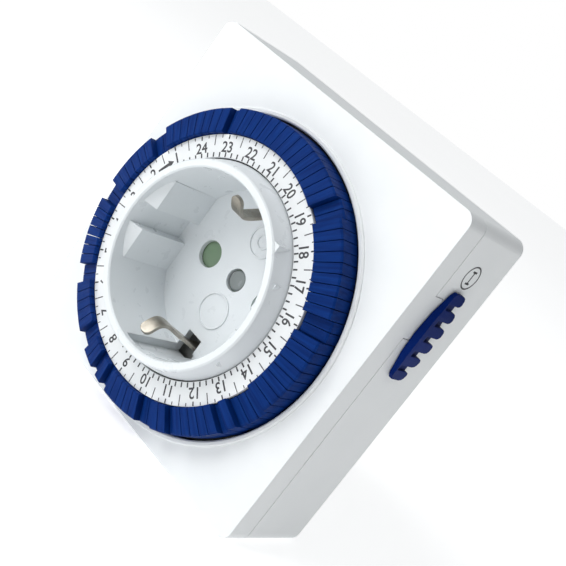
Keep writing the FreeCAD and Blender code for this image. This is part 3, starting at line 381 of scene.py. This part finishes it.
def number_mesh(text, height):
    """Return the points and faces of a number of a given height, centred on the origin.

    The strokes are swelled a little all round, and the number is pressed flat to the ink."""
    curve = bpy.data.curves.new("number", "FONT")
    curve.body = text
    curve.size = 1.0
    curve.bevel_depth = STROKE_SWELL
    curve.resolution_u = 3
    holder = bpy.data.objects.new("number", curve)
    mesh = bpy.data.meshes.new_from_object(holder)
    points = np.array([vertex.co for vertex in mesh.vertices])
    faces = [tuple(face.vertices) for face in mesh.polygons]
    bpy.data.objects.remove(holder)
    bpy.data.curves.remove(curve)
    bpy.data.meshes.remove(mesh)
    low = points.min(0)
    high = points.max(0)
    points = (points - (low + high) / 2) * height / (high[1] - low[1])
    points[:, 2] *= INK_THICK / np.abs(points[:, 2]).max()
    return points, faces


def scale_numbers():
    """Hours 1 to 24 round the axis, one every fifteen degrees, with their tops to the outside.

    A number's own across, up and out run along the arc, along the radius and to the front."""
    front = np.array([0, -1, 0])
    parts = []
    for hour in range(1, 25):
        angle = HOUR_ZERO + HOUR_STEP * hour
        points, faces = number_mesh(str(hour), NUMBER_HEIGHT)
        across, up, out = np.split(points, 3, axis=1)
        outward = np.array([math.cos(angle), 0, math.sin(angle)])
        along = np.array([math.sin(angle), 0, -math.cos(angle)])
        centre = outward * NUMBER_RADIUS + np.array([0, SCALE_FRONT, 0])
        placed = centre + across * along * NUMBER_NARROWING + up * outward + out * front
        parts.append((placed, faces))
    points, faces = joined(parts)
    return piece("scale_numbers", points, faces, INK, "dial")


scale_ticks()
turning_arrow()
scale_numbers()


# ---------------------------------------------------------------- sign beside the slider

SIGN_DEPTH = 13.0 * MM
SIGN_HEIGHT = 31.5 * MM
SIGN_RADIUS = 2.65 * MM
SIGN_LINE = 0.32 * MM
# Each stroke: height of its middle, width and height, in millimetres.
SIGN_STROKES = ((0.0, 0.36, 2.9), (1.3, 1.5, 0.42), (-1.3, 1.5, 0.42))


def side_sign():
    """Circle with an upright stroke in it: a ring of flat plates and three bars on the side."""
    turns = np.linspace(0, 2 * math.pi, 49)
    inner = on_circle(SIGN_RADIUS - SIGN_LINE, turns)
    outer = on_circle(SIGN_RADIUS, turns)
    ring = np.stack([inner[:-1], inner[1:], outer[1:], outer[:-1]], 1)
    bars = []
    for middle, wide, high in SIGN_STROKES:
        half = np.array([wide, high]) * MM / 2
        at = np.array([0.0, middle * MM])
        bars.append([at + half * corner for corner in ((-1, -1), (1, -1), (1, 1), (-1, 1))])
    corners = np.concatenate([ring, np.array(bars)]) + np.array([SIGN_DEPTH, SIGN_HEIGHT])
    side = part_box("rear_housing")[1].x
    points, faces = plates(corners, side - INK_THICK, side + INK_THICK)
    return piece("side_sign", points[:, [1, 0, 2]], faces, INK, "case")


side_sign()


# ---------------------------------------------------------------- softer slider

def soften(name, width_mm, steps):
    """Round the sharp edges of a CAD node with a bevel."""
    bevel = NODES[name].modifiers.new("soft_edges", "BEVEL")
    bevel.width = width_mm * MM
    bevel.segments = steps
    bevel.limit_method = "ANGLE"
    bevel.angle_limit = math.radians(35)
    bevel.harden_normals = False


soften("override_slider", 0.28, 3)


# ---------------------------------------------------------------- studio

AMBIENT = 0.55
SIDE_AMBIENT = 0.12
DIM_FROM = 0.1
DIM_TO = 0.8
FLOOR_GLOW = 0.52
FLOOR_HALF = 3.0
# Each lamp: its place, the side of its square, and its power in watts.
LAMPS = {
    "key": ((-0.30, -0.60, 0.50), 0.5, 3.9),
    "fill": ((0.06, -0.85, -0.1), 0.5, 1.6),
    "glint": ((0.5, -0.15, 0.8), 0.3, 0.6),
}


def pale_floor():
    """Square floor at the foot of the object, with a faint glow of its own."""
    level = cad_box[0].z
    half = FLOOR_HALF
    corners = [(-half, -half, level), (half, -half, level), (half, half, level), (-half, half, level)]
    mesh = bpy.data.meshes.new("floor")
    mesh.from_pydata(corners, [], [(0, 1, 2, 3)])
    floor = bpy.data.objects.new("floor", mesh)
    shader = Shader("pale_floor")
    shader.join(shader.tint(shader.noise(0.004, 2.0), (0.86, 0.86, 0.86), (0.88, 0.88, 0.88)),
                shader.surface.inputs["Base Color"])
    shader.fix(Roughness=0.8, Emission_Color=(1, 1, 1, 1), Emission_Strength=FLOOR_GLOW)
    mesh.materials.append(shader.material)
    bpy.context.scene.collection.objects.link(floor)


def white_surroundings():
    """White backdrop, and all-round light that grows dimmer towards the right."""
    world = bpy.data.worlds.new("studio")
    bpy.context.scene.world = world
    world.use_nodes = True
    tree = world.node_tree
    background = tree.nodes["Background"]
    background.inputs["Color"].default_value = (0.96, 0.985, 1, 1)
    direction = tree.nodes.new("ShaderNodeTexCoord")
    parts = tree.nodes.new("ShaderNodeSeparateXYZ")
    dimmer = tree.nodes.new("ShaderNodeMapRange")
    dimmer.inputs["From Min"].default_value = DIM_FROM
    dimmer.inputs["From Max"].default_value = DIM_TO
    dimmer.inputs["To Min"].default_value = AMBIENT
    dimmer.inputs["To Max"].default_value = SIDE_AMBIENT
    tree.links.new(direction.outputs["Generated"], parts.inputs["Vector"])
    tree.links.new(parts.outputs["X"], dimmer.inputs["Value"])
    tree.links.new(dimmer.outputs["Result"], background.inputs["Strength"])
    backdrop = tree.nodes.new("ShaderNodeBackground")
    backdrop.inputs["Color"].default_value = (1, 1, 1, 1)
    backdrop.inputs["Strength"].default_value = 1.0
    choice = tree.nodes.new("ShaderNodeMixShader")
    path = tree.nodes.new("ShaderNodeLightPath")
    tree.links.new(path.outputs["Is Camera Ray"], choice.inputs[0])
    tree.links.new(background.outputs[0], choice.inputs[1])
    tree.links.new(backdrop.outputs[0], choice.inputs[2])
    tree.links.new(choice.outputs[0], tree.nodes["World Output"].inputs["Surface"])


def softbox(name, place, side, power):
    """Square lamp at a place, turned to the origin."""
    data = bpy.data.lights.new(name, "AREA")
    data.shape = "SQUARE"
    data.size = side
    data.energy = power
    lamp = bpy.data.objects.new(name, data)
    lamp.location = place
    lamp.rotation_mode = "QUATERNION"
    lamp.rotation_quaternion = (-Vector(place)).to_track_quat("-Z", "Y")
    bpy.context.scene.collection.objects.link(lamp)


CAMERA_PLACE = Vector((0.13034, -0.17243, 0.05443))
CAMERA_AIM = Vector((0.01492, 0.0, 0.00872))
CAMERA_ROLL = math.radians(36.634)
CAMERA_LENS = 69.76


def camera():
    """Camera to the right of and a little above the socket, tilted about its own axis."""
    data = bpy.data.cameras.new("camera")
    data.sensor_width = 36
    data.lens = CAMERA_LENS
    data.clip_start = 0.01
    data.clip_end = 10
    held = bpy.data.objects.new("camera", data)
    held.location = CAMERA_PLACE
    look = (CAMERA_AIM - CAMERA_PLACE).to_track_quat("-Z", "Y").to_matrix().to_4x4()
    held.rotation_mode = "QUATERNION"
    held.rotation_quaternion = (look @ Matrix.Rotation(CAMERA_ROLL, 4, "Z")).to_quaternion()
    bpy.context.scene.collection.objects.link(held)
    bpy.context.scene.camera = held


pale_floor()
white_surroundings()
for lamp_name, (lamp_place, lamp_side, lamp_power) in LAMPS.items():
    softbox(lamp_name, lamp_place, lamp_side, lamp_power)
camera()
bpy.context.scene.view_settings.view_transform = "Standard"
